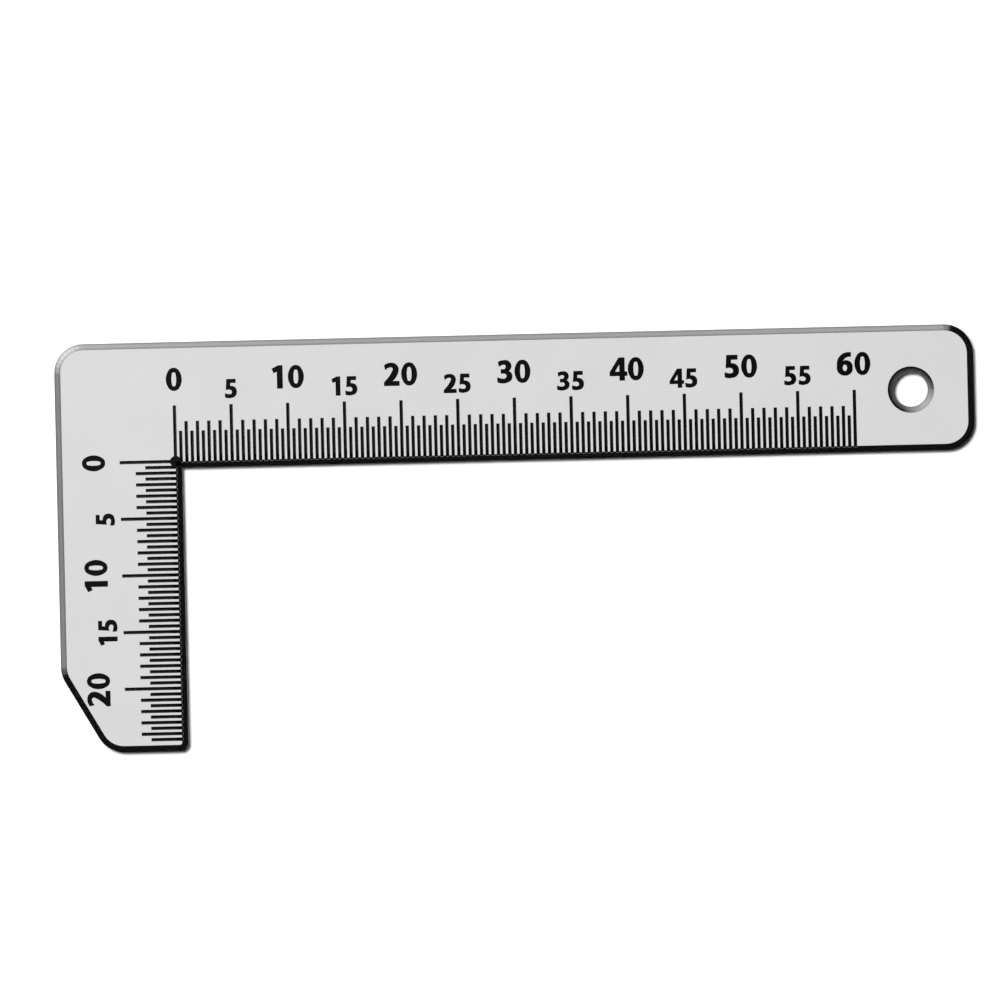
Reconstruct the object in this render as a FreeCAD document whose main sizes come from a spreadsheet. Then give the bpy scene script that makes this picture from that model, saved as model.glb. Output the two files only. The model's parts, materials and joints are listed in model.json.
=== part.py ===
"""Inside-corner rule: a flat L-shaped steel plate with two millimetre scales.

The two scales share one zero, at the inner corner of the flat face.  The long
scale runs along the long arm (+X) and the short scale runs down the short arm
(-Y).  Every line, number and the zero dot is a shallow recess in the plate,
filled level with black enamel.  All lengths are in millimetres.

Frame: +Z points up out of the marked face, and the origin is in the middle of
the underside's bounding box.
"""
import FreeCAD, Part
import Sketcher
import math
import os

from FreeCAD import Placement, Rotation, Vector

# alias, value, meaning
SIZES = [
    ("long_arm_length", 70.0, "zero corner to the end of the long arm, flat face"),
    ("long_arm_width", 10.0, "flat face of the long arm"),
    ("short_arm_length", 25.0, "zero corner to the end of the short arm, flat face"),
    ("short_arm_width", 10.0, "flat face of the short arm"),
    ("thickness", 1.5, "plate"),
    ("bevel_width", 0.55, "bevel outside the flat face, along every front edge"),
    ("bevel_height", 0.4, "how far the bevel drops"),
    ("back_edge_round", 0.2, "rounding along every back edge"),
    ("corner_radius", 2.0, "three large corners of the flat face"),
    ("tip_radius", 0.2, "inner corner at the short arm's end, flat face"),
    ("cut_height", 6.5, "slanted cut, measured along the short arm"),
    ("cut_angle", 30.0, "slanted cut, degrees from the short arm's side"),
    ("cut_radius", 2.0, "blend at both ends of the slanted cut, flat face"),
    ("hole_diameter", 3.0, "hanging hole, straight bore"),
    ("hole_from_end", 5.0, "hole centre to the long arm's end"),
    ("hole_from_inner_edge", 4.85, "hole centre to the scale's edge"),
    ("enamel_depth", 0.08, "recess under lines and numbers"),
    ("dot_diameter", 1.0, "zero dot"),
    ("dot_depth", 0.25, "recess under the zero dot"),
    ("line_width", 0.3, "every graduation"),
    ("line_run_out", 0.2, "how far a line's cutter runs on over the bevel"),
    ("half_mm_line", 2.7, "length of a half-millimetre line"),
    ("mm_line", 3.55, "length of a millimetre line"),
    ("five_mm_line", 4.95, "length of a five-millimetre line"),
    ("long_end_margin", 10.0, "last line of the long scale to the arm's end"),
    ("short_end_margin", 0.3, "least distance of a line from the short arm's end"),
    ("tens_height", 2.0, "numbers at 0, 10, 20 and so on"),
    ("tens_base", 6.25, "foot of those numbers to the scale's edge"),
    ("tens_pitch", 1.55, "one digit to the next"),
    ("fives_height", 1.65, "numbers at 5, 15, 25 and so on"),
    ("number_weight", 0.015, "growth of a digit's outline on every side, as a share of its height"),
    ("fives_base", 5.5, "foot of those numbers to the scale's edge"),
    ("fives_pitch", 1.27, "one digit to the next"),
    ("number_end_margin", 2.0, "middle of a number to the arm's end, at least"),
    ("cutter_height", 0.5, "how far the recess cutters stand above the face"),
]

HALF_MM = 0.5
MM = 1.0
FIVE_MM = 5.0
TEN_MM = 10.0

# The zero corner, seen from the middle of the plate's bounding box.
ZERO_X = "(sizes.short_arm_width - sizes.long_arm_length) / 2"
ZERO_Y = "(sizes.short_arm_length - sizes.long_arm_width) / 2"

doc = FreeCAD.newDocument("inside_corner_rule")


# ---------------------------------------------------------------- the sheet

def make_sheet():
    """Spreadsheet with one named cell for each driving size."""
    sheet = doc.addObject("Spreadsheet::Sheet", "sizes")
    for row, (alias, value, meaning) in enumerate(SIZES, start=1):
        sheet.set(f"A{row}", meaning)
        sheet.set(f"B{row}", str(value))
        sheet.setAlias(f"B{row}", alias)
    doc.recompute()
    return sheet


sheet = make_sheet()


def size(alias):
    """Value of one named cell."""
    return float(getattr(sheet, alias))


def zero_corner():
    """Placement of the zero corner in the frame."""
    return Placement(
        Vector(
            (size("short_arm_width") - size("long_arm_length")) / 2,
            (size("short_arm_length") - size("long_arm_width")) / 2,
            0,
        ),
        Rotation(),
    )


# ------------------------------------------------------------ sketch helpers

def new_body(name):
    """Body whose own origin is the zero corner on the underside."""
    body = doc.addObject("PartDesign::Body", name)
    body.Label = name
    body.setExpression("Placement.Base.x", ZERO_X)
    body.setExpression("Placement.Base.y", ZERO_Y)
    return body


def new_sketch(body, name, height=None):
    """Sketch on the body's XY plane, lifted to a height given as an expression."""
    sketch = body.newObject("Sketcher::SketchObject", name)
    plane = next(item for item in body.Origin.OriginFeatures if item.Role == "XY_Plane")
    sketch.AttachmentSupport = [(plane, "")]
    sketch.MapMode = "FlatFace"
    if height:
        sketch.setExpression("AttachmentOffset.Base.z", height)
    return sketch


def add_polygon(sketch, corners):
    """Closed chain of lines through the corners; edges along an axis stay along it."""
    ends = corners[1:] + corners[:1]
    for start, end in zip(corners, ends):
        sketch.addGeometry(Part.LineSegment(Vector(*start, 0), Vector(*end, 0)))
    count = len(corners)
    for index in range(count):
        sketch.addConstraint(Sketcher.Constraint("Coincident", index, 2, (index + 1) % count, 1))
    for index, (start, end) in enumerate(zip(corners, ends)):
        if start[1] == end[1]:
            sketch.addConstraint(Sketcher.Constraint("Horizontal", index))
        elif start[0] == end[0]:
            sketch.addConstraint(Sketcher.Constraint("Vertical", index))


def bind(sketch, kind, name, arguments, expression):
    """Named sketch dimension that follows an expression."""
    index = sketch.addConstraint(Sketcher.Constraint(kind, *arguments))
    sketch.renameConstraint(index, name)
    sketch.setExpression(f"Constraints.{name}", expression)


def pin(sketch, axis, name, corner, place, expression):
    """Distance from the sketch's origin to the start of line number `corner`.

    `place` is the corner's coordinate on that axis; the expression gives its
    size without the sign.
    """
    origin = (-1, 1)
    vertex = (corner, 1)
    ordered = origin + vertex if place >= 0 else vertex + origin
    bind(sketch, f"Distance{axis}", name, (*ordered, abs(place)), expression)


# ------------------------------------------------------------------ the blank

def draw_outer_edge(sketch):
    """Outer edge of the plate: the flat face's outline plus the bevel all round."""
    edge = size("bevel_width")
    left = -size("short_arm_width") - edge
    top = size("long_arm_width") + edge
    right = size("long_arm_length") + edge
    bottom = -size("short_arm_length") - edge
    angle = math.radians(size("cut_angle"))
    cut_top = -size("short_arm_length") + size("cut_height") - edge * math.tan(angle / 2)
    cut_foot = left + (cut_top - bottom) * math.tan(angle)
    add_polygon(sketch, [
        (left, top),
        (left, cut_top),
        (cut_foot, bottom),
        (edge, bottom),
        (edge, -edge),
        (right, -edge),
        (right, top),
    ])
    pin(sketch, "X", "left_side", 0, left, "sizes.short_arm_width + sizes.bevel_width")
    pin(sketch, "Y", "top_side", 0, top, "sizes.long_arm_width + sizes.bevel_width")
    pin(sketch, "Y", "cut_start", 1, cut_top,
        "sizes.short_arm_length - sizes.cut_height"
        " + sizes.bevel_width * tan(sizes.cut_angle * 1deg / 2)")
    pin(sketch, "Y", "short_arm_end", 3, bottom, "sizes.short_arm_length + sizes.bevel_width")
    pin(sketch, "X", "short_inner_side", 3, edge, "sizes.bevel_width")
    pin(sketch, "Y", "long_inner_side", 5, -edge, "sizes.bevel_width")
    pin(sketch, "X", "long_arm_end", 5, right, "sizes.long_arm_length + sizes.bevel_width")
    pin(sketch, "X", "cut_end", 2, cut_foot,
        "sizes.short_arm_width + sizes.bevel_width - (sizes.cut_height + sizes.bevel_width"
        " - sizes.bevel_width * tan(sizes.cut_angle * 1deg / 2)) * tan(sizes.cut_angle * 1deg)")


def upright_edge(shape, x, y):
    """Name of the vertical edge that stands nearest to a point in plan."""
    def distance(edge):
        middle = edge.CenterOfMass
        return math.hypot(middle.x - x, middle.y - y)

    upright = []
    for number, edge in enumerate(shape.Edges, start=1):
        if edge.BoundBox.XLength + edge.BoundBox.YLength < 1e-6:
            upright.append((distance(edge), f"Edge{number}"))
    return min(upright)[1]


def level_face(shape, height):
    """Name of the flat face that lies at a height."""
    for number, face in enumerate(shape.Faces, start=1):
        box = face.BoundBox
        if box.ZLength < 1e-6 and abs(box.ZMin - height) < 1e-6:
            return f"Face{number}"
    raise ValueError(f"no flat face at height {height}")


def add_fillet(body, name, base, picks, radius):
    """Rounding of the named edges, or of every edge of a named face."""
    fillet = body.newObject("PartDesign::Fillet", name)
    fillet.Base = (base, picks)
    fillet.setExpression("Radius", radius)
    doc.recompute()
    return fillet


def make_blank():
    """Unmarked plate: padded outline, drilled, with rounded corners and a bevel."""
    body = new_body("blank")
    outer_edge = new_sketch(body, "outer_edge")
    draw_outer_edge(outer_edge)
    pad = body.newObject("PartDesign::Pad", "plate")
    pad.Profile = outer_edge
    pad.setExpression("Length", "sizes.thickness")
    doc.recompute()

    left = -size("short_arm_width")
    top = size("long_arm_width")
    right = size("long_arm_length")
    bottom = -size("short_arm_length")
    large = [(left, top), (right, top), (right, 0)]
    picks = [upright_edge(pad.Shape, x, y) for x, y in large]
    corners = add_fillet(body, "large_corners", pad, picks,
                         "sizes.corner_radius + sizes.bevel_width")
    picks = [upright_edge(corners.Shape, 0, bottom)]
    tip = add_fillet(body, "tip_corner", corners, picks, "sizes.tip_radius + sizes.bevel_width")
    cut_foot = left + size("cut_height") * math.tan(math.radians(size("cut_angle")))
    slant = [(left, bottom + size("cut_height")), (cut_foot, bottom)]
    picks = [upright_edge(tip.Shape, x, y) for x, y in slant]
    blends = add_fillet(body, "cut_blends", tip, picks, "sizes.cut_radius + sizes.bevel_width")

    hole_sketch = new_sketch(body, "hole_outline", "sizes.thickness")
    draw_circle(hole_sketch, "hole_diameter",
                ("sizes.long_arm_length - sizes.hole_from_end", right - size("hole_from_end")),
                ("sizes.hole_from_inner_edge", size("hole_from_inner_edge")))
    hole = body.newObject("PartDesign::Pocket", "hanging_hole")
    hole.Profile = hole_sketch
    hole.Type = "ThroughAll"
    doc.recompute()
    check_removed(blends, hole, math.pi * (size("hole_diameter") / 2) ** 2 * size("thickness"))

    face = level_face(hole.Shape, size("thickness"))
    bevel = body.newObject("PartDesign::Chamfer", "front_bevel")
    bevel.Base = (hole, [face])
    bevel.ChamferType = "Two distances"
    bevel.setExpression("Size", "sizes.bevel_height")
    bevel.setExpression("Size2", "sizes.bevel_width")
    doc.recompute()
    check_flat_face(bevel)
    back = level_face(bevel.Shape, 0)
    add_fillet(body, "back_edges", bevel, [back], "sizes.back_edge_round")
    return body


def check_flat_face(bevel):
    """Stop when the bevel didn't leave the flat face at its own size."""
    face = bevel.Shape.getElement(level_face(bevel.Shape, size("thickness")))
    box = face.optimalBoundingBox(True, False)
    wide = size("long_arm_length") + size("short_arm_width")
    high = size("short_arm_length") + size("long_arm_width")
    if abs(box.XLength - wide) > 0.001 or abs(box.YLength - high) > 0.001:
        raise ValueError(f"flat face is {box.XLength:.3f} x {box.YLength:.3f}")


def draw_circle(sketch, diameter, across, up):
    """Circle whose diameter and centre follow the sheet."""
    radius = size(diameter) / 2
    sketch.addGeometry(Part.Circle(Vector(across[1], up[1], 0), Vector(0, 0, 1), radius))
    bind(sketch, "Diameter", "bore", (0, 2 * radius), f"sizes.{diameter}")
    bind(sketch, "DistanceX", "across", (-1, 1, 0, 3, across[1]), across[0])
    bind(sketch, "DistanceY", "up", (-1, 1, 0, 3, up[1]), up[0])


def check_removed(before, after, expected):
    """Stop when a pocket didn't take away the volume that it should."""
    removed = before.Shape.Volume - after.Shape.Volume
    if abs(removed - expected) > 0.01 * expected:
        raise ValueError(f"{after.Name} removed {removed:.3f}, expected {expected:.3f}")


# ------------------------------------------------------- lines and zero dot

def line_count(reach, first, spacing):
    """Expression: how many lines fit from the first one to the scale's reach."""
    return f"floor(({reach} - {first}) / {spacing} + 0.0001) + 1"


def add_line_row(body, name, scale, length, first, spacing):
    """One line at `first` from zero, repeated along the scale at a spacing."""
    long_scale = scale == "long"
    half = size("line_width") / 2
    run_out = size("line_run_out")
    if long_scale:
        left, right, low, high = first - half, first + half, -run_out, size(length)
        sides = (f"abs({first} - sizes.line_width / 2)", f"{first} + sizes.line_width / 2",
                 "sizes.line_run_out", f"sizes.{length}")
    else:
        left, right, low, high = -size(length), run_out, -first - half, half - first
        sides = (f"sizes.{length}", "sizes.line_run_out",
                 f"{first} + sizes.line_width / 2", f"abs({first} - sizes.line_width / 2)")

    sketch = new_sketch(body, f"{name}_outline", "sizes.thickness - sizes.enamel_depth")
    add_polygon(sketch, [(left, low), (right, low), (right, high), (left, high)])
    pin(sketch, "X", "left_side", 0, left, sides[0])
    pin(sketch, "X", "right_side", 2, right, sides[1])
    pin(sketch, "Y", "low_side", 0, low, sides[2])
    pin(sketch, "Y", "high_side", 2, high, sides[3])

    line = body.newObject("PartDesign::Pad", name)
    line.Profile = sketch
    line.setExpression("Length", "sizes.enamel_depth + sizes.cutter_height")
    doc.recompute()

    row = body.newObject("PartDesign::LinearPattern", f"{name}_row")
    row.Originals = [line]
    row.Direction = (sketch, ["H_Axis" if long_scale else "V_Axis"])
    row.Reversed = not long_scale
    row.Mode = "Spacing"
    row.Offset = spacing
    reach = f"(sizes.{scale}_arm_length - sizes.{scale}_end_margin)"
    row.setExpression("Occurrences", line_count(reach, first, spacing))
    body.Tip = row
    doc.recompute()


def make_line_cutter(scale, name, length, firsts, spacing):
    """Cutter for one kind of line of one scale, kept clear of the zero dot."""
    body = new_body(f"{scale}_{name}_cutter")
    for number, first in enumerate(firsts, start=1):
        add_line_row(body, f"{scale}_{name}_{number}", scale, length, first, spacing)
    if firsts[0] < size("dot_diameter") / 2 + size("line_width") / 2:
        sketch = new_sketch(body, f"{scale}_{name}_dot_outline", "sizes.thickness + sizes.cutter_height")
        draw_circle(sketch, "dot_diameter", ("0", 0), ("0", 0))
        clearance = body.newObject("PartDesign::Pocket", f"{scale}_{name}_dot_clearance")
        clearance.Profile = sketch
        clearance.Type = "ThroughAll"
        doc.recompute()
    return body


def make_dot_cutter():
    """Round cutter for the zero dot, centred on the zero corner."""
    body = new_body("zero_dot_cutter")
    sketch = new_sketch(body, "zero_dot_outline", "sizes.thickness - sizes.dot_depth")
    draw_circle(sketch, "dot_diameter", ("0", 0), ("0", 0))
    dot = body.newObject("PartDesign::Pad", "zero_dot_pad")
    dot.Profile = sketch
    dot.setExpression("Length", "sizes.dot_depth + sizes.cutter_height")
    doc.recompute()
    return body


# -------------------------------------------------------------------- digits
# Every digit is drawn one unit tall, with its foot at y = 0 and its cell
# centred on x = 0, and is scaled to its height afterwards.

OVAL_END = 0.78
ROUND_CORNERS = 0


def outline(start, *steps):
    """Closed wire: a step (x, y) is straight, (mid x, mid y, x, y) is an arc.

    A straight edge closes the wire unless the last step already ends at the start.
    """
    closing = () if steps[-1][-2:] == start else (start,)
    edges = []
    here = Vector(*start, 0)
    for step in steps + closing:
        there = Vector(*step[-2:], 0)
        if len(step) == 4:
            edges.append(Part.Arc(here, Vector(*step[:2], 0), there).toShape())
        else:
            edges.append(Part.makeLine(here, there))
        here = there
    return Part.Wire(edges)


def oval(x, y, half_width, half_height):
    """Closed ring of four arcs that meet smoothly: tight at its far ends, flat at its sides."""
    far = max(half_width, half_height)
    near = min(half_width, half_height)
    end = OVAL_END * near
    side = (near ** 2 + (far - end) ** 2 - end ** 2) / (2 * (near - end))
    join_near = near - side + side * (side - near) / (side - end)
    join_far = side * (far - end) / (side - end)

    def spot(across, along):
        if half_width > half_height:
            return x + along, y + across
        return x + across, y + along

    return outline(
        spot(join_near, -join_far), spot(near, 0) + spot(join_near, join_far),
        spot(0, far) + spot(-join_near, join_far), spot(-near, 0) + spot(-join_near, -join_far),
        spot(0, -far) + spot(join_near, -join_far))


def glyph(outer, *holes):
    """Flat digit from its outer wire and the wires of its counters."""
    face = Part.Face(outer)
    for hole in holes:
        face = face.cut(Part.Face(hole)).Faces[0]
    return face


def digit_zero():
    return glyph(oval(0, 0.5, 0.34, 0.5), oval(0, 0.5, 0.12, 0.325))


def digit_one():
    return glyph(outline(
        (-0.05, 0), (0.18, 0), (0.18, 1), (0, 1), (-0.27, 0.86), (-0.2, 0.68), (-0.05, 0.75)))


def digit_two():
    return glyph(outline(
        (-0.33, 0), (0.33, 0), (0.33, 0.19), (0, 0.19),
        (0.22, 0.43, 0.305, 0.7), (0.205, 0.925, -0.01, 1), (-0.19, 0.97, -0.31, 0.9),
        (-0.27, 0.71), (-0.15, 0.795, -0.03, 0.82), (0.05, 0.78, 0.065, 0.69),
        (-0.08, 0.43, -0.33, 0.15)))


def digit_three():
    return glyph(outline(
        (-0.33, 0.05), (-0.1, -0.005, 0.11, 0.035), (0.27, 0.14, 0.315, 0.3),
        (0.26, 0.45, 0.13, 0.52), (0.24, 0.61, 0.28, 0.75), (0.19, 0.94, -0.02, 1),
        (-0.17, 0.98, -0.29, 0.93), (-0.25, 0.74), (-0.15, 0.8, -0.05, 0.82),
        (0.03, 0.79, 0.05, 0.71), (0, 0.62, -0.1, 0.6), (-0.17, 0.6), (-0.17, 0.43),
        (-0.07, 0.43), (0.04, 0.4, 0.08, 0.3), (0.03, 0.21, -0.08, 0.185),
        (-0.21, 0.2, -0.33, 0.25)))


def digit_four():
    return glyph(
        outline((0.06, 0), (0.275, 0), (0.275, 0.205), (0.385, 0.205), (0.385, 0.375),
                (0.275, 0.375), (0.275, 1), (0.03, 1), (-0.37, 0.36), (-0.37, 0.205), (0.06, 0.205)),
        outline((0.06, 0.375), (0.06, 0.74), (-0.165, 0.375)))


def digit_five():
    return glyph(outline(
        (-0.3, 0.04), (-0.13, -0.005, 0.04, 0.015), (0.25, 0.12, 0.315, 0.32),
        (0.24, 0.54, 0, 0.63), (-0.035, 0.63), (-0.025, 0.81), (0.26, 0.81), (0.26, 1),
        (-0.21, 1), (-0.25, 0.43), (-0.18, 0.455, -0.1, 0.455), (0.03, 0.41, 0.08, 0.315),
        (0.04, 0.22, -0.06, 0.185), (-0.18, 0.2, -0.3, 0.24)))


def digit_six():
    return glyph(
        outline((0.27, 0.995), (-0.2, 0.85, -0.335, 0.42), (-0.25, 0.09, 0, -0.005),
                (0.25, 0.09, 0.33, 0.33), (0.26, 0.56, 0.08, 0.645), (-0.04, 0.63, -0.12, 0.56),
                (0.02, 0.76, 0.26, 0.825)),
        oval(0, 0.325, 0.11, 0.155))


def digit_seven():
    return glyph(outline(
        (-0.23, 0), (0.02, 0), (0.21, 0.41, 0.32, 0.84), (0.32, 1), (-0.31, 1), (-0.31, 0.81),
        (0.06, 0.81), (-0.05, 0.4, -0.23, 0)))


def digit_eight():
    body = Part.Face(oval(0, 0.285, 0.33, 0.29)).fuse(Part.Face(oval(0, 0.745, 0.29, 0.26)))
    outer = body.removeSplitter().Faces[0].OuterWire
    return glyph(outer, oval(0, 0.285, 0.11, 0.12), oval(0, 0.745, 0.09, 0.1))


def digit_nine():
    turned = digit_six()
    turned.rotate(Vector(0, 0.5, 0), Vector(0, 0, 1), 180)
    return turned


DIGITS = [digit_zero, digit_one, digit_two, digit_three, digit_four,
          digit_five, digit_six, digit_seven, digit_eight, digit_nine]


def number_solids(value, kind, turn, foot):
    """Solids of one whole number, centred on its line and turned to its scale."""
    height = size(f"{kind}_height")
    pitch = size(f"{kind}_pitch")
    deep = size("enamel_depth") + size("cutter_height")
    place = Placement(foot, Rotation(Vector(0, 0, 1), turn))
    characters = str(value)
    solids = []
    for index, character in enumerate(characters):
        face = DIGITS[int(character)]()
        face.scale(height, Vector(0, 0, 0))
        face = face.makeOffset2D(size("number_weight") * height, ROUND_CORNERS)
        face.translate(Vector((index - (len(characters) - 1) / 2) * pitch, 0, 0))
        prism = face.extrude(Vector(0, 0, deep))
        for solid in prism.Solids:
            solids.append(solid.transformed(place.toMatrix()))
    return solids


def make_number_cutter(scale, kind, first):
    """Cutter for every second numbered line of one scale, 10 mm apart."""
    arm = size(f"{scale}_arm_length")
    reach = arm - max(size(f"{scale}_end_margin"), size("number_end_margin"))
    base = size(f"{kind}_base")
    depth_level = size("thickness") - size("enamel_depth")
    solids = []
    value = first
    while value <= reach:
        if scale == "long":
            solids += number_solids(int(value), kind, 0, Vector(value, base, depth_level))
        else:
            solids += number_solids(int(value), kind, 90, Vector(-base, -value, depth_level))
        value += TEN_MM
    cutter = doc.addObject("Part::Feature", f"{scale}_{kind}_cutter")
    cutter.Label = cutter.Name
    cutter.Shape = Part.makeCompound(solids)
    cutter.Placement = zero_corner()
    return cutter


# ---------------------------------------------------------- finished pieces

def make_enamel(name, blank, cutter):
    """Enamel filling: what the cutter and the unmarked plate have in common."""
    enamel = doc.addObject("Part::Common", name)
    enamel.Label = name
    enamel.Base = blank
    enamel.Tool = cutter
    return enamel


def make_rule_plate(blank, cutters):
    """Steel plate with every recess cut into its face."""
    recesses = doc.addObject("Part::MultiFuse", "recesses")
    recesses.Shapes = cutters
    plate = doc.addObject("Part::Cut", "rule_plate")
    plate.Label = "rule_plate"
    plate.Base = blank
    plate.Tool = recesses
    return plate


def make_scale_cutters(scale):
    """Cutters of one scale, by the name of the filling that each one leaves."""
    between_fives = [MM, 2 * MM, 3 * MM, 4 * MM]
    return {
        f"{scale}_scale_half_mm_lines":
            make_line_cutter(scale, "half_mm", "half_mm_line", [HALF_MM], MM),
        f"{scale}_scale_mm_lines":
            make_line_cutter(scale, "mm", "mm_line", between_fives, FIVE_MM),
        f"{scale}_scale_5mm_lines":
            make_line_cutter(scale, "five_mm", "five_mm_line", [0.0], FIVE_MM),
        f"{scale}_scale_tens_numbers":
            make_number_cutter(scale, "tens", 0),
        f"{scale}_scale_fives_numbers":
            make_number_cutter(scale, "fives", FIVE_MM),
    }


def check_document():
    """Stop when any object of the document failed."""
    for item in doc.Objects:
        if {"Invalid", "Error"} & set(item.State):
            raise ValueError(f"{item.Name} is {item.State}")


def write_parts(pieces):
    """Check each piece and write it to its own file."""
    os.makedirs("parts", exist_ok=True)
    for piece in pieces:
        shape = piece.Shape
        if shape.isNull() or not shape.isValid() or not shape.Solids:
            raise ValueError(f"{piece.Label} has no valid solid")
        shape.exportStep(os.path.join("parts", f"{piece.Label}.step"))
        print(f"{piece.Label:32s} {len(shape.Solids):4d} solids {shape.Volume:10.4f} mm3")


blank = make_blank()
cutters = {"zero_dot": make_dot_cutter()}
cutters.update(make_scale_cutters("long"))
cutters.update(make_scale_cutters("short"))
pieces = [make_rule_plate(blank, list(cutters.values()))]
for name, cutter in cutters.items():
    pieces.append(make_enamel(name, blank, cutter))
doc.recompute()
check_document()
write_parts(pieces)
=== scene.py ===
# %% [markdown]
# # An inside-corner rule in satin steel
#
# The object is a flat L-shaped rule, 1.5 mm thick.  Two millimetre scales start together at
# its inner corner.  The face is satin, the bevel round it is polished, and every line and
# number is a shallow recess filled with black enamel.
#
# Blender adds what CAD can't say: how the steel scatters light, how the enamel sits in its
# recess, and how the studio shows both. All lengths are in metres.

# %% Load the CAD frame
import json
import math

import bpy
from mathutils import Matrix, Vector


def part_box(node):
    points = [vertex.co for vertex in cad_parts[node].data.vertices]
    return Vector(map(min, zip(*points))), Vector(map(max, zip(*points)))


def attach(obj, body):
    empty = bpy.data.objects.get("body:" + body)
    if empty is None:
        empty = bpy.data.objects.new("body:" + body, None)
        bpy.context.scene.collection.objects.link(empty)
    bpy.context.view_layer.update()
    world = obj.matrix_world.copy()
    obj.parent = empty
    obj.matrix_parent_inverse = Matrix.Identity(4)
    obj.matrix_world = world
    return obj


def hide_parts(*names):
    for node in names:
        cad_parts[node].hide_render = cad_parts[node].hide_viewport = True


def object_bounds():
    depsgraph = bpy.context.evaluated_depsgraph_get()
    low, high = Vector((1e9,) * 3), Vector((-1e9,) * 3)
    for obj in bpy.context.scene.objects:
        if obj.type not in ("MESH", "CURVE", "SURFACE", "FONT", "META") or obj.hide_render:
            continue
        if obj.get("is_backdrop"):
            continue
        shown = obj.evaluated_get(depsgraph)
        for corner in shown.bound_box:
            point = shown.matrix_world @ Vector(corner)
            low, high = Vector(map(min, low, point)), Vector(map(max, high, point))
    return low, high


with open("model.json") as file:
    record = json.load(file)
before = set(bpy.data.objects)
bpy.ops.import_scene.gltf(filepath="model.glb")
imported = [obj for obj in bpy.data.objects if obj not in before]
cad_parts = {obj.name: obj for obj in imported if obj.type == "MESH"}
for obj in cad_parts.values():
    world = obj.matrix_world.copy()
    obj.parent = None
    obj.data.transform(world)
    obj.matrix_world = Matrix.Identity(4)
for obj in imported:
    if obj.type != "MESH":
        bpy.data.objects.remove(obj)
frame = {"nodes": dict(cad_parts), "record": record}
cad_box = [list(corner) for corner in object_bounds()]
nodes = frame["nodes"]
MM = 0.001
print("CAD nodes:", len(nodes))

# %% [markdown]
# ## Sizes from the frame
#
# A scale is only right if its lines stand where the CAD lines stand, so no size is typed in
# twice.  The zero dot is centred on the corner where both scales start.  The flat face is
# the plate's highest level, and the bevel is what lies outside it: its width and slope are
# read from the plate's own corners.  The hanging hole is one of the record's mounts, which
# give its place and its radius.

# %% Read the rule's own sizes
plate_low, plate_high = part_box("rule_plate")
dot_low, dot_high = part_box("zero_dot")
face_z = plate_high.z
dot_radius = (dot_high.x - dot_low.x) / 2
zero = Vector((dot_low.x + dot_radius, dot_low.y + dot_radius, face_z))

HAIR = 0.002 * MM
plate_points = [vertex.co for vertex in nodes["rule_plate"].data.vertices]
flat_right = max(point.x for point in plate_points if point.z > face_z - HAIR)
wall_top = max(point.z for point in plate_points if point.x > plate_high.x - HAIR)
bevel_width = plate_high.x - flat_right
bevel_slope = (face_z - wall_top) / bevel_width

mounts = {mount["name"]: mount for mount in frame["record"]["mounts"]}
hole = Vector(mounts["hanging_hole"]["pos_m"])
hole_radius = mounts["hanging_hole"]["dims"]["r_mm"] * MM
print("zero corner (mm):", [round(value / MM, 2) for value in zero])
print("bevel width (mm):", round(bevel_width / MM, 3), "slope:", round(bevel_slope, 3))
print("hole (mm):", [round(value / MM, 2) for value in hole.xy], "radius", hole_radius / MM)

# %% [markdown]
# ## A small kit for node trees
#
# Shader trees and geometry trees are built the same way: make a node, set its values, wire
# its inputs.  One helper does all three, so the cells below read like a list of steps.
# An input given as a socket is wired, and anything else is that input's plain value.

# %% Helpers for building node trees
def add_node(tree, kind, inputs=None, **settings):
    """New node; `inputs` maps an input's name or number to a socket or a value."""
    node = tree.nodes.new(kind)
    for name, value in settings.items():
        setattr(node, name, value)
    for name, value in (inputs or {}).items():
        if isinstance(value, bpy.types.NodeSocket):
            tree.links.new(value, node.inputs[name])
        else:
            node.inputs[name].default_value = value
    return node


def compute(tree, operation, *terms):
    """Result of one step of arithmetic on sockets and numbers."""
    kind = "ShaderNodeMath"
    return add_node(tree, kind, dict(enumerate(terms)), operation=operation).outputs[0]


def new_group(name, kind, inputs, outputs):
    """Node group with named sockets; gives its tree, its inputs and its outputs."""
    tree = bpy.data.node_groups.new(name, kind)
    for label, socket_type, default in inputs:
        socket = tree.interface.new_socket(label, in_out="INPUT", socket_type=socket_type)
        if default is not None:
            socket.default_value = default
    for label, socket_type in outputs:
        tree.interface.new_socket(label, in_out="OUTPUT", socket_type=socket_type)
    given = tree.nodes.new("NodeGroupInput").outputs
    result = tree.nodes.new("NodeGroupOutput").inputs
    return tree, given, result


# %% [markdown]
# ## Surface effects that the materials share
#
# Steel, enamel and tabletop share two effects.  *Grain* is a fine even texture, with a much
# larger and slower noise beside it for the cloudy change in tone that every real surface
# has.  *Hairlines* are the thin straight scratches of use: noise that is stretched along
# one direction, so that only long thin peaks are left.  Each group hands out masks, and the
# material decides what a mask does to its colour, roughness and relief.

# %% Shared group: grain
def make_grain_group():
    """Fine grain and slow clouds, both from 0 to 1."""
    tree, given, result = new_group(
        "grain", "ShaderNodeTree",
        [("Position", "NodeSocketVector", None),
         ("Grain Size", "NodeSocketFloat", 0.15 * MM),
         ("Cloud Size", "NodeSocketFloat", 6 * MM)],
        [("Grain", "NodeSocketFloat"), ("Clouds", "NodeSocketFloat")])
    for size, result_name in (("Grain Size", "Grain"), ("Cloud Size", "Clouds")):
        noise = add_node(tree, "ShaderNodeTexNoise",
                         {"Vector": given["Position"],
                          "Scale": compute(tree, "DIVIDE", 1.0, given[size]),
                          "Detail": 2.0, "Roughness": 0.55})
        tree.links.new(noise.outputs[0], result[result_name])
    return tree


grain_group = make_grain_group()
print("grain group:", len(grain_group.nodes), "nodes")

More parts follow.
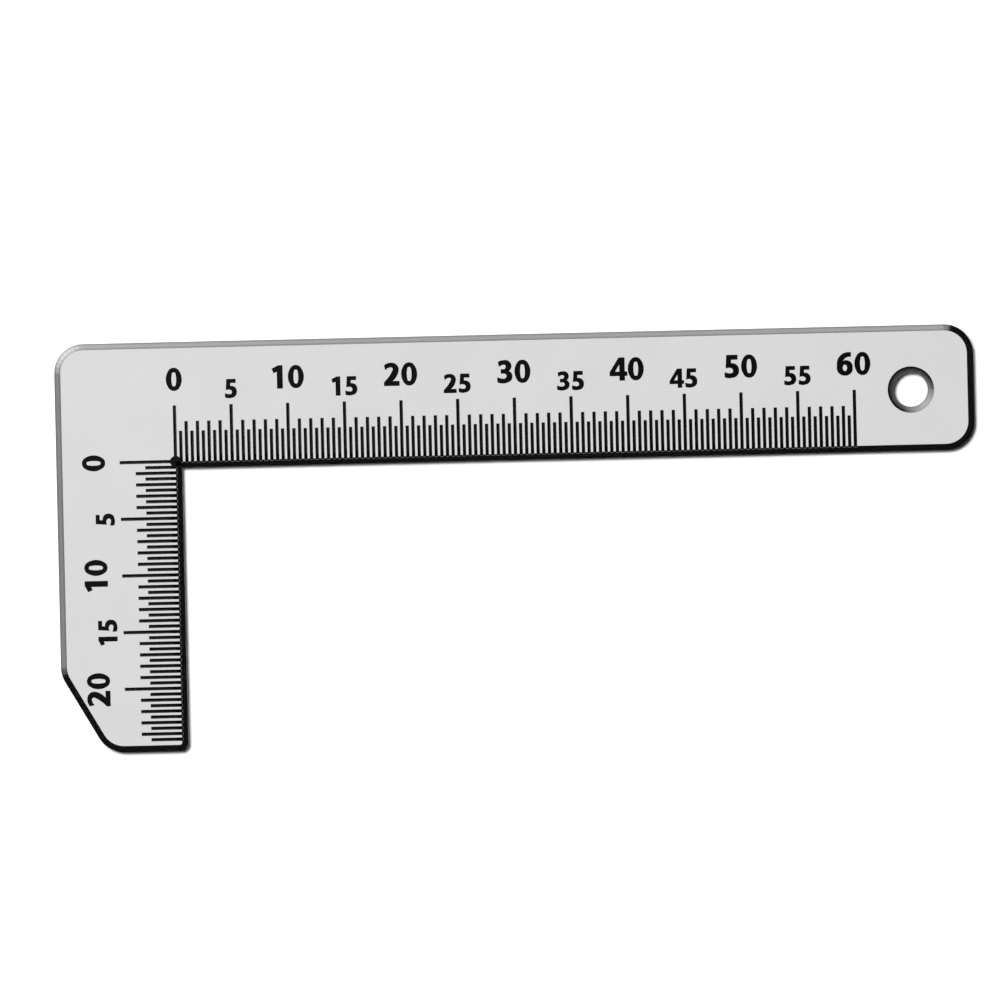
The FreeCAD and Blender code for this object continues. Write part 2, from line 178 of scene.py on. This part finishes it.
# %% Shared group: hairlines
def make_hairline_group():
    """Thin straight scratches in two directions; 1 on a scratch and 0 beside it."""
    tree, given, result = new_group(
        "hairlines", "ShaderNodeTree",
        [("Position", "NodeSocketVector", None),
         ("Width", "NodeSocketFloat", 0.05 * MM),
         ("Length", "NodeSocketFloat", 12 * MM),
         ("Threshold", "NodeSocketFloat", 0.68)],
        [("Mask", "NodeSocketFloat")])
    along = compute(tree, "DIVIDE", 1.0, given["Length"])
    across = compute(tree, "DIVIDE", 1.0, given["Width"])
    stretch = add_node(tree, "ShaderNodeCombineXYZ", {"X": along, "Y": across, "Z": along})
    peaks = []
    for degrees in (6.0, -37.0):
        turned = add_node(tree, "ShaderNodeVectorRotate",
                          {"Vector": given["Position"], "Angle": math.radians(degrees)},
                          rotation_type="Z_AXIS")
        stretched = add_node(tree, "ShaderNodeVectorMath",
                             {0: turned.outputs[0], 1: stretch.outputs[0]},
                             operation="MULTIPLY")
        noise = add_node(tree, "ShaderNodeTexNoise",
                         {"Vector": stretched.outputs[0], "Scale": 1.0, "Detail": 1.0})
        peak = add_node(tree, "ShaderNodeMapRange",
                        {"Value": noise.outputs[0], "From Min": given["Threshold"],
                         "From Max": 0.85})
        peaks.append(peak.outputs[0])
    tree.links.new(compute(tree, "MAXIMUM", *peaks), result["Mask"])
    return tree


hairline_group = make_hairline_group()
print("hairline group:", len(hairline_group.nodes), "nodes")

# %% Helpers that every material uses
def start_material(name):
    """Empty material with a Principled shader; gives it with its tree and the shader."""
    material = bpy.data.materials.new(name)
    material.use_nodes = True
    tree = material.node_tree
    tree.nodes.clear()
    shader = add_node(tree, "ShaderNodeBsdfPrincipled")
    add_node(tree, "ShaderNodeOutputMaterial", {"Surface": shader.outputs[0]})
    return material, tree, shader


def place_group(tree, group, **values):
    """A shared group in a material, reading the object's own coordinates."""
    node = add_node(tree, "ShaderNodeGroup", node_tree=group)
    place = add_node(tree, "ShaderNodeTexCoord").outputs["Object"]
    tree.links.new(place, node.inputs["Position"])
    for name, value in values.items():
        node.inputs[name.replace("_", " ")].default_value = value
    return node.outputs


def blend_value(tree, mask, when_zero, when_one):
    """Number that goes from one value to another as a mask goes from 0 to 1."""
    return add_node(tree, "ShaderNodeMapRange",
                    {"Value": mask, "To Min": when_zero, "To Max": when_one}).outputs[0]


def blend_colour(tree, mask, when_zero, when_one):
    """Colour that goes from one tone to another as a mask goes from 0 to 1."""
    return add_node(tree, "ShaderNodeMix",
                    {"Factor": mask, "A": (*when_zero, 1), "B": (*when_one, 1)},
                    data_type="RGBA").outputs["Result"]


def scale_colour(tree, colour, factor):
    """Colour made lighter or darker by a factor."""
    return add_node(tree, "ShaderNodeVectorMath", {0: colour, "Scale": factor},
                    operation="SCALE").outputs[0]


# %% [markdown]
# ## Satin steel with a polished bevel
#
# The rule is one piece of steel with two finishes.  The faces and the upright sides are
# satin: they scatter light widely and keep one pale grey from end to end.  The bevel is
# polished, so it mirrors the room, black where it is dark and bright towards the window.
#
# Which finish a spot has depends only on which way it faces, so one material serves both.
# The surface's own normal gives the mask: 1 where it leans outwards like the bevel, and 0
# where it points straight up, sideways or down.  A hair below the face the bevel's top edge
# is rubbed dull by pockets and fingers, and the grain breaks that line up.  Along the
# bevel's two long edges its colour is painted darker (painted shade), and along its middle
# a little lighter (a painted highlight).
#
# The bevel of the hanging hole is cut by a drill and is polished less and less towards the
# bore.  Its colour is painted darker over the whole of that bevel, most at the bore: painted
# shade.

# %% Material: satin steel
SATIN_TONE = (0.615, 0.615, 0.612)
POLISHED_TONE = (0.60, 0.60, 0.60)
SATIN_ROUGHNESS = 0.78
POLISHED_ROUGHNESS = 0.14
WORN_EDGE_DEPTH = 0.01 * MM
# Painted shade along the bevel's two long edges and a painted highlight along its middle.
BEVEL_EDGE_PAINTED_SHADE = 0.55
BEVEL_MIDDLE_PAINTED_HIGHLIGHT = 1.06
BORE_POLISH = 0.25
# Painted shade over the hanging hole's bevel.
HOLE_PAINTED_SHADE = 0.6


def own_height(tree):
    """Height of each spot in the object's own coordinates."""
    place = add_node(tree, "ShaderNodeTexCoord").outputs["Object"]
    return add_node(tree, "ShaderNodeSeparateXYZ", {0: place}).outputs["Z"]


def polish_mask(tree):
    """1 on the bevel and 0 on the flat faces and the upright sides."""
    normal = add_node(tree, "ShaderNodeNewGeometry").outputs["Normal"]
    upward = add_node(tree, "ShaderNodeSeparateXYZ", {0: normal}).outputs["Z"]
    above_sides = add_node(tree, "ShaderNodeMapRange",
                           {"Value": upward, "From Min": 0.30, "From Max": 0.60}).outputs[0]
    below_face = add_node(tree, "ShaderNodeMapRange",
                          {"Value": upward, "From Min": 0.99, "From Max": 0.90}).outputs[0]
    return compute(tree, "MULTIPLY", above_sides, below_face)


def bevel_middle_mask(tree):
    """Painted shade to highlight across the bevel: 0 at the height of its long edges, 1 midway.
    """
    down = add_node(tree, "ShaderNodeMapRange",
                    {"Value": own_height(tree), "From Min": face_z,
                     "From Max": wall_top}).outputs[0]
    up = compute(tree, "SUBTRACT", 1.0, down)
    return compute(tree, "MULTIPLY", compute(tree, "MULTIPLY", down, up), 4.0)


# Mask for the hole bevel's lesser polish and for its painted shade.
def hole_polish_and_shade_mask(tree):
    """0 away from the hanging hole, rising over its bevel to 1 at the bore."""
    place = add_node(tree, "ShaderNodeTexCoord").outputs["Object"]
    middle = (hole.x, hole.y, face_z)
    reach = add_node(tree, "ShaderNodeVectorMath", {0: place, 1: middle}, operation="DISTANCE")
    return add_node(tree, "ShaderNodeMapRange",
                    {"Value": reach.outputs["Value"], "From Min": hole_radius + bevel_width,
                     "From Max": hole_radius}).outputs[0]


def worn_edge_mask(tree, grain):
    """1 where the bevel meets the face, in a thin line that the grain breaks up."""
    line = add_node(tree, "ShaderNodeMapRange",
                    {"Value": own_height(tree), "From Min": face_z - WORN_EDGE_DEPTH,
                     "From Max": face_z}).outputs[0]
    return compute(tree, "MULTIPLY", line, blend_value(tree, grain, 0.3, 1.0))


def make_satin_steel():
    """Satin faces and sides, polished bevel, drilled hole, grain, clouds, hairlines, painted
    shade.
    """
    material, tree, shader = start_material("satin_steel")
    grain = place_group(tree, grain_group)
    hairline = place_group(tree, hairline_group)["Mask"]
    unworn = compute(tree, "SUBTRACT", 1.0, worn_edge_mask(tree, grain["Grain"]))
    polish = compute(tree, "MULTIPLY", polish_mask(tree), unworn)
    hole_polish_and_shade = hole_polish_and_shade_mask(tree)
    polish = compute(tree, "MULTIPLY", polish, blend_value(tree, hole_polish_and_shade, 1.0, BORE_POLISH))

    tone = blend_colour(tree, polish, SATIN_TONE, POLISHED_TONE)
    # Painted shade along the bevel's long edges, a painted highlight along its middle.
    bevel_painted_light = blend_value(tree, bevel_middle_mask(tree), BEVEL_EDGE_PAINTED_SHADE,
                              BEVEL_MIDDLE_PAINTED_HIGHLIGHT)
    # Painted shade over the hole's bevel, darkest at the bore.
    hole_painted_shade = compute(tree, "POWER", hole_polish_and_shade, 0.3)
    shade = compute(tree, "MULTIPLY", blend_value(tree, grain["Clouds"], 0.98, 1.02),
                    blend_value(tree, grain["Grain"], 0.93, 1.07))
    # The bevel's painted shade and highlight, only where the steel is polished.
    shade = compute(tree, "MULTIPLY", shade, blend_value(tree, polish, 1.0, bevel_painted_light))
    shade = compute(tree, "MULTIPLY", shade,
                    blend_value(tree, hole_painted_shade, 1.0, HOLE_PAINTED_SHADE))
    tree.links.new(scale_colour(tree, tone, shade), shader.inputs["Base Color"])

    roughness = blend_value(tree, polish, SATIN_ROUGHNESS, POLISHED_ROUGHNESS)
    roughness = compute(tree, "ADD", roughness, blend_value(tree, grain["Clouds"], -0.02, 0.02))
    roughness = compute(tree, "ADD", roughness, blend_value(tree, hairline, 0.0, -0.05))
    tree.links.new(roughness, shader.inputs["Roughness"])

    relief = compute(tree, "MULTIPLY", grain["Grain"], blend_value(tree, polish, 1.0, 0.1))
    relief = compute(tree, "SUBTRACT", relief, hairline)
    bump = add_node(tree, "ShaderNodeBump",
                    {"Height": relief, "Distance": 0.004 * MM, "Strength": 0.4})
    tree.links.new(bump.outputs[0], shader.inputs["Normal"])
    shader.inputs["Metallic"].default_value = 1.0
    return material


satin_steel = make_satin_steel()
nodes["rule_plate"].data.materials[0] = satin_steel
print("steel material:", len(satin_steel.node_tree.nodes), "nodes")

# %% [markdown]
# ## Black enamel
#
# The filling is a baked paint: nearly black, smooth, and wiped level while it was wet.  It
# isn't a metal, so its colour is a dark tone under a soft highlight.  The same grain and
# hairlines as on the steel keep it from looking like a hole.

# %% Material: black enamel
ENAMEL_DARK = (0.0008, 0.0008, 0.0009)
ENAMEL_LIGHT = (0.0020, 0.0020, 0.0022)


def make_black_enamel():
    """Nearly black filling with a faint uneven tone and a soft highlight."""
    material, tree, shader = start_material("black_enamel")
    grain = place_group(tree, grain_group, Grain_Size=0.06 * MM, Cloud_Size=0.9 * MM)
    hairline = place_group(tree, hairline_group)["Mask"]
    tone = blend_colour(tree, grain["Clouds"], ENAMEL_DARK, ENAMEL_LIGHT)
    tree.links.new(tone, shader.inputs["Base Color"])

    roughness = blend_value(tree, grain["Clouds"], 0.10, 0.13)
    roughness = compute(tree, "ADD", roughness, blend_value(tree, hairline, 0.0, 0.05))
    tree.links.new(roughness, shader.inputs["Roughness"])

    bump = add_node(tree, "ShaderNodeBump",
                    {"Height": grain["Grain"], "Distance": 0.001 * MM, "Strength": 0.3})
    tree.links.new(bump.outputs[0], shader.inputs["Normal"])
    shader.inputs["Specular IOR Level"].default_value = 0.2
    return material


black_enamel = make_black_enamel()
enamel_nodes = [name for name in nodes if name != "rule_plate"]
for name in enamel_nodes:
    nodes[name].data.materials[0] = black_enamel
print("enamel material on", len(enamel_nodes), "CAD nodes")

# %% [markdown]
# ## The scale lines
#
# A line is a groove that was etched, filled with wet enamel and wiped.  The wiping leaves
# the enamel a little hollow: level at the groove's two edges and lowest in the middle.  At
# the plate's edge the groove runs out through the bevel, and at the zero dot it stops on
# the dot's circle.
#
# All 171 lines follow that one rule, so one geometry tree draws every row of them.  It puts
# points along the scale, drops those where a longer kind of line stands, sets a bar on each
# point and then moves the bar's corners: sideways corners stay, the ends slide to the dot
# or the bevel, and the top sinks into its hollow.  A tree is better here than a saved shape
# repeated 171 times, because the bars differ where they meet the dot.
#
# In the tree x runs along the scale from zero, y along a line into the plate, and z = 0 is
# the face.

# %% Geometry tree for one row of lines
BAR_ROWS = 7
BAR_COLUMNS = 5


def scale_points(tree, given):
    """Points along the scale, without those where a longer kind of line stands."""
    start = add_node(tree, "ShaderNodeCombineXYZ", {"X": given["First"]}).outputs[0]
    step = add_node(tree, "ShaderNodeCombineXYZ", {"X": given["Spacing"]}).outputs[0]
    row = add_node(tree, "GeometryNodeMeshLine",
                   {"Count": given["Count"], "Start Location": start, "Offset": step},
                   mode="OFFSET")
    number = compute(tree, "ADD", add_node(tree, "GeometryNodeInputIndex").outputs[0], 1.0)
    rest = compute(tree, "MODULO", number, given["Leave Out Every"])
    left_out = compute(tree, "LESS_THAN", rest, 0.5)
    return add_node(tree, "GeometryNodeDeleteGeometry",
                    {"Geometry": row.outputs["Mesh"], "Selection": left_out},
                    domain="POINT").outputs[0]


def unit_bar(tree, given):
    """Bar of the line's width, 1 long and 1 deep, that remembers each corner's side."""
    cube_size = add_node(tree, "ShaderNodeCombineXYZ",
                         {"X": given["Line Width"], "Y": 1.0, "Z": 1.0}).outputs[0]
    cube = add_node(tree, "GeometryNodeMeshCube",
                    {"Size": cube_size, "Vertices X": BAR_COLUMNS, "Vertices Y": BAR_ROWS,
                     "Vertices Z": 2})
    position = add_node(tree, "GeometryNodeInputPosition").outputs[0]
    across = add_node(tree, "ShaderNodeSeparateXYZ", {0: position}).outputs["X"]
    half_width = compute(tree, "MULTIPLY", given["Line Width"], 0.5)
    side = compute(tree, "DIVIDE", across, half_width)
    marked = add_node(tree, "GeometryNodeStoreNamedAttribute",
                      {"Geometry": cube.outputs["Mesh"], "Name": "side", "Value": side},
                      data_type="FLOAT", domain="POINT")
    return add_node(tree, "GeometryNodeTransform",
                    {"Geometry": marked.outputs[0], "Translation": (0.0, 0.5, -0.5)}).outputs[0]


def shape_bars(tree, given, bars):
    """Moves every corner of the unit bars to its place in the groove."""
    position = add_node(tree, "GeometryNodeInputPosition").outputs[0]
    x, along, level = add_node(tree, "ShaderNodeSeparateXYZ", {0: position}).outputs

    dot_reach = compute(tree, "MULTIPLY", given["Dot Radius"], given["Dot Radius"])
    dot_reach = compute(tree, "SUBTRACT", dot_reach, compute(tree, "MULTIPLY", x, x))
    dot_end = compute(tree, "SQRT", compute(tree, "MAXIMUM", dot_reach, 0.0))
    bevel_end = compute(tree, "DIVIDE", given["Depth"], given["Bevel Slope"])
    bevel_end = compute(tree, "MULTIPLY", bevel_end, -0.9)
    outer_end = add_node(tree, "GeometryNodeSwitch",
                         {"Switch": compute(tree, "GREATER_THAN", dot_reach, 0.0),
                          "False": bevel_end, "True": dot_end}, input_type="FLOAT").outputs[0]
    reach = compute(tree, "SUBTRACT", given["Line Length"], outer_end)
    y = compute(tree, "MULTIPLY_ADD", along, reach, outer_end)

    on_bevel = compute(tree, "MINIMUM", compute(tree, "MULTIPLY", y, given["Bevel Slope"]), 0.0)
    side = add_node(tree, "GeometryNodeInputNamedAttribute", {"Name": "side"},
                    data_type="FLOAT").outputs[0]
    middle = compute(tree, "SUBTRACT", 1.0, compute(tree, "MULTIPLY", side, side))
    sunk = compute(tree, "MULTIPLY", middle, given["Hollow"])
    top = compute(tree, "SUBTRACT", on_bevel, sunk)
    bottom = compute(tree, "MULTIPLY", given["Depth"], -1.0)
    upper = compute(tree, "ADD", level, 1.0)
    z = compute(tree, "MULTIPLY_ADD", upper, compute(tree, "SUBTRACT", top, bottom), bottom)

    moved = add_node(tree, "ShaderNodeCombineXYZ", {"X": x, "Y": y, "Z": z}).outputs[0]
    return add_node(tree, "GeometryNodeSetPosition",
                    {"Geometry": bars, "Position": moved}).outputs[0]


def make_line_tree():
    """Geometry tree that draws one kind of line of one scale."""
    tree, given, result = new_group(
        "scale_lines", "GeometryNodeTree",
        [("Geometry", "NodeSocketGeometry", None),
         ("Count", "NodeSocketInt", 10), ("First", "NodeSocketFloat", 0.5 * MM),
         ("Spacing", "NodeSocketFloat", 1.0 * MM), ("Leave Out Every", "NodeSocketInt", 1000),
         ("Line Width", "NodeSocketFloat", 0.2 * MM), ("Line Length", "NodeSocketFloat", 3 * MM),
         ("Depth", "NodeSocketFloat", 0.08 * MM), ("Hollow", "NodeSocketFloat", 0.01 * MM),
         ("Bevel Slope", "NodeSocketFloat", 0.7), ("Dot Radius", "NodeSocketFloat", 0.5 * MM),
         ("Zero", "NodeSocketVector", None), ("Turn", "NodeSocketFloat", 0.0),
         ("Enamel", "NodeSocketMaterial", None)],
        [("Geometry", "NodeSocketGeometry")])
    bars = add_node(tree, "GeometryNodeInstanceOnPoints",
                    {"Points": scale_points(tree, given), "Instance": unit_bar(tree, given)})
    loose_bars = add_node(tree, "GeometryNodeRealizeInstances", {"Geometry": bars.outputs[0]})
    shaped_row = shape_bars(tree, given, loose_bars.outputs[0])

    turn = add_node(tree, "ShaderNodeCombineXYZ", {"Z": given["Turn"]}).outputs[0]
    zero_point = add_node(tree, "GeometryNodePoints", {"Count": 1, "Position": given["Zero"]})
    placed_row = add_node(tree, "GeometryNodeInstanceOnPoints",
                          {"Points": zero_point.outputs[0], "Instance": shaped_row,
                           "Rotation": turn})
    row = add_node(tree, "GeometryNodeRealizeInstances", {"Geometry": placed_row.outputs[0]})
    coloured = add_node(tree, "GeometryNodeSetMaterial",
                        {"Geometry": row.outputs[0], "Material": given["Enamel"]})
    tree.links.new(coloured.outputs[0], result["Geometry"])
    return tree


line_tree = make_line_tree()
print("line tree:", len(line_tree.nodes), "nodes")

# %% [markdown]
# ## From the tree to plain meshes
#
# A row's first line, last line, length and groove depth are the sides of its CAD node's
# box.  On the long scale, lines stand along x and reach into +y.  On the short scale, the
# same row is turned a quarter turn and runs the other way from zero.
#
# Each row is evaluated once, frozen into a plain mesh and given its CAD node's place.

# %% Draw the rows of lines
HOLLOW = 0.006 * MM
QUARTER_TURN = math.pi / 2
NONE_LEFT_OUT = 1000  # more than a row has lines
ROW_KINDS = {
    "half_mm_lines": {"spacing": 1.0 * MM, "leave_out": NONE_LEFT_OUT},
    "mm_lines": {"spacing": 1.0 * MM, "leave_out": 5},
    "5mm_lines": {"spacing": 5.0 * MM, "leave_out": NONE_LEFT_OUT},
}
FIRST_HALF_MM = 0.5 * MM
LINE_WIDTH = 2 * (FIRST_HALF_MM - (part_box("long_scale_half_mm_lines")[0].x - zero.x))


def set_inputs(modifier, values):
    """Sets a geometry tree's inputs by their socket identifiers."""
    for item in modifier.node_group.interface.items_tree:
        if item.in_out == "INPUT" and item.name in values:
            modifier[item.identifier] = values[item.name]


def row_sizes(node_name):
    """First line, last line, line length and groove depth of one CAD node."""
    low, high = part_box(node_name)
    half_width = LINE_WIDTH / 2
    if node_name.startswith("long"):
        first, last, length = low.x - zero.x, high.x - zero.x, high.y - zero.y
    else:
        first, last, length = zero.y - high.y, zero.y - low.y, zero.x - low.x
    return first + half_width, last - half_width, length, face_z - low.z


def draw_row(scale_name, kind):
    """Plain mesh object with every line of one kind on one scale."""
    node_name = f"{scale_name}_scale_{kind}"
    first, last, length, depth = row_sizes(node_name)
    spacing = ROW_KINDS[kind]["spacing"]
    away = 1.0 if scale_name == "long" else -1.0
    holder = bpy.data.objects.new("row_holder", bpy.data.meshes.new("row_holder"))
    bpy.context.collection.objects.link(holder)
    modifier = holder.modifiers.new("lines", "NODES")
    modifier.node_group = line_tree
    set_inputs(modifier, {
        "Count": round((last - first) / spacing) + 1,
        "First": away * first,
        "Spacing": away * spacing,
        "Leave Out Every": ROW_KINDS[kind]["leave_out"],
        "Line Width": LINE_WIDTH,
        "Line Length": length,
        "Depth": depth,
        "Hollow": HOLLOW,
        "Bevel Slope": bevel_slope,
        "Dot Radius": dot_radius,
        "Zero": zero,
        "Turn": 0.0 if scale_name == "long" else QUARTER_TURN,
        "Enamel": black_enamel,
    })
    graph = bpy.context.evaluated_depsgraph_get()
    mesh = bpy.data.meshes.new_from_object(holder.evaluated_get(graph))
    bpy.data.objects.remove(holder)
    row = bpy.data.objects.new(f"filled_{node_name}", mesh)
    bpy.context.collection.objects.link(row)
    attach(row, "root")
    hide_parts(node_name)
    return row


rows = [draw_row(scale_name, kind) for scale_name in ("long", "short") for kind in ROW_KINDS]
bar_faces = 2 * ((BAR_ROWS - 1) * (BAR_COLUMNS - 1) + BAR_ROWS - 1 + BAR_COLUMNS - 1)
for row in rows:
    print(row.name, "lines:", len(row.data.polygons) // bar_faces)

# %% [markdown]
# ## Studio
#
# Steel shows what it mirrors, so the lamps are placed by what each surface should mirror
# when it is seen from straight above.
#
# The satin face scatters so widely that it is pale and even under one soft lamp high
# above it.  That lamp hangs a little to the upper left.  Straight overhead the glossy enamel
# would mirror it and turn grey.  From there it also draws the thin soft shadow along the
# lower and right edges.
#
# The polished bevel mirrors the room some eighteen degrees above the horizon.  A broad low
# bay window stands in the upper left of the view, brightest in the middle and dimmer with
# every pane towards its ends, and the rest of the room is dark.  So the bevel is bright at
# the upper left corner, fades to grey along the top and the left, and is nearly black along
# the bottom, the right and the inner edges.

# %% Lamps
def add_softbox(name, azimuth, elevation, distance, width, height, power):
    """Soft rectangular lamp that faces the rule; azimuth 0 is +X and 90 is +Y."""
    flat = math.cos(math.radians(elevation))
    direction = Vector((flat * math.cos(math.radians(azimuth)),
                        flat * math.sin(math.radians(azimuth)),
                        math.sin(math.radians(elevation))))
    light = bpy.data.lights.new(name, "AREA")
    light.shape = "RECTANGLE"
    light.size = width
    light.size_y = height
    light.energy = power
    lamp = bpy.data.objects.new(name, light)
    lamp.location = direction * distance
    lamp.rotation_euler = (-direction).to_track_quat("-Z", "Y").to_euler()
    lamp.visible_camera = False
    bpy.context.collection.objects.link(lamp)
    return lamp


UPPER_LEFT = 135
add_softbox("key", UPPER_LEFT, elevation=74, distance=2.0, width=0.5, height=0.5, power=50)

PANE_TURN = 10
PANE_WIDTH = 2 * math.tan(math.radians(PANE_TURN / 2)) + 0.01
PANE_HEIGHT = 0.5
for azimuth in range(80, 191, PANE_TURN):
    from_middle = math.radians(azimuth - UPPER_LEFT)
    brightness = 1.45 - 0.4 * from_middle + 1.9 * math.cos(2 * from_middle)
    add_softbox(f"window_{azimuth}", azimuth, elevation=18, distance=1.0, width=PANE_WIDTH,
                height=PANE_HEIGHT, power=brightness * PANE_WIDTH * PANE_HEIGHT)
print("lamps:", len(bpy.data.lights))

# %% [markdown]
# ## Table and room
#
# The rule lies on a plain pale board.  The room's walls are dark for anything that mirrors
# them, and pale where the camera looks past the board's far edge.

# %% Table
TABLE_HALF = 1.2
TABLE_GAP = 0.02 * MM


def make_table_material():
    """Pale matt board with a very faint grain."""
    material, tree, shader = start_material("pale_board")
    grain = place_group(tree, grain_group, Grain_Size=0.6 * MM, Cloud_Size=60 * MM)
    tone = blend_colour(tree, grain["Clouds"], (0.86, 0.86, 0.86), (0.90, 0.90, 0.90))
    tree.links.new(tone, shader.inputs["Base Color"])
    tree.links.new(blend_value(tree, grain["Grain"], 0.75, 0.85), shader.inputs["Roughness"])
    return material


table_mesh = bpy.data.meshes.new("table")
table_mesh.from_pydata(
    [(x, y, -TABLE_GAP) for x, y in ((-TABLE_HALF, -TABLE_HALF), (TABLE_HALF, -TABLE_HALF),
                                     (TABLE_HALF, TABLE_HALF), (-TABLE_HALF, TABLE_HALF))],
    [], [(0, 1, 2, 3)])
table_mesh.materials.append(make_table_material())
table = bpy.data.objects.new("table", table_mesh)
bpy.context.collection.objects.link(table)
table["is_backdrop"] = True

# %% Room
MIRRORED_WALL = (0.006, 0.006, 0.006)
SEEN_WALL = (0.95, 0.95, 0.95)
world = bpy.data.worlds.new("room")
world.use_nodes = True
room_tree = world.node_tree
room_tree.nodes.clear()
seen = add_node(room_tree, "ShaderNodeLightPath").outputs["Is Camera Ray"]
wall = blend_colour(room_tree, seen, MIRRORED_WALL, SEEN_WALL)
background = add_node(room_tree, "ShaderNodeBackground", {"Color": wall})
add_node(room_tree, "ShaderNodeOutputWorld", {"Surface": background.outputs[0]})
bpy.context.scene.world = world
bpy.context.scene.view_settings.view_transform = "Standard"
print("room nodes:", len(room_tree.nodes))

# %% [markdown]
# ## Camera
#
# The rule is seen from straight above through a long lens, so both arms keep their true
# proportions.  It lies a degree off square, with a little more room below and on the left.

# %% Camera
CAMERA_HEIGHT = 1472 * MM
VIEW_MIDDLE = (-1.425 * MM, 3.399 * MM)
VIEW_TURN = math.radians(-1.32)
camera_data = bpy.data.cameras.new("camera")
camera_data.lens = 600
camera_data.sensor_width = 36
camera = bpy.data.objects.new("camera", camera_data)
camera.location = (*VIEW_MIDDLE, face_z + CAMERA_HEIGHT)
camera.rotation_euler = (0.0, 0.0, VIEW_TURN)
bpy.context.collection.objects.link(camera)
bpy.context.scene.camera = camera
field = CAMERA_HEIGHT * camera_data.sensor_width / camera_data.lens
print("field of view (mm):", round(field / MM, 1))

# %% [markdown]
#
# The finished model has to fill the same box as the CAD model.  Both boxes are printed,
# so that they can be compared.

# %% Print both sizes and finish
finished_box = [list(corner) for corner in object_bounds()]
for label, corners in (("CAD", cad_box), ("finished", finished_box)):
    extent = [round((high - low) / MM, 3) for low, high in zip(*corners)]
    print(label, "size (mm):", extent)
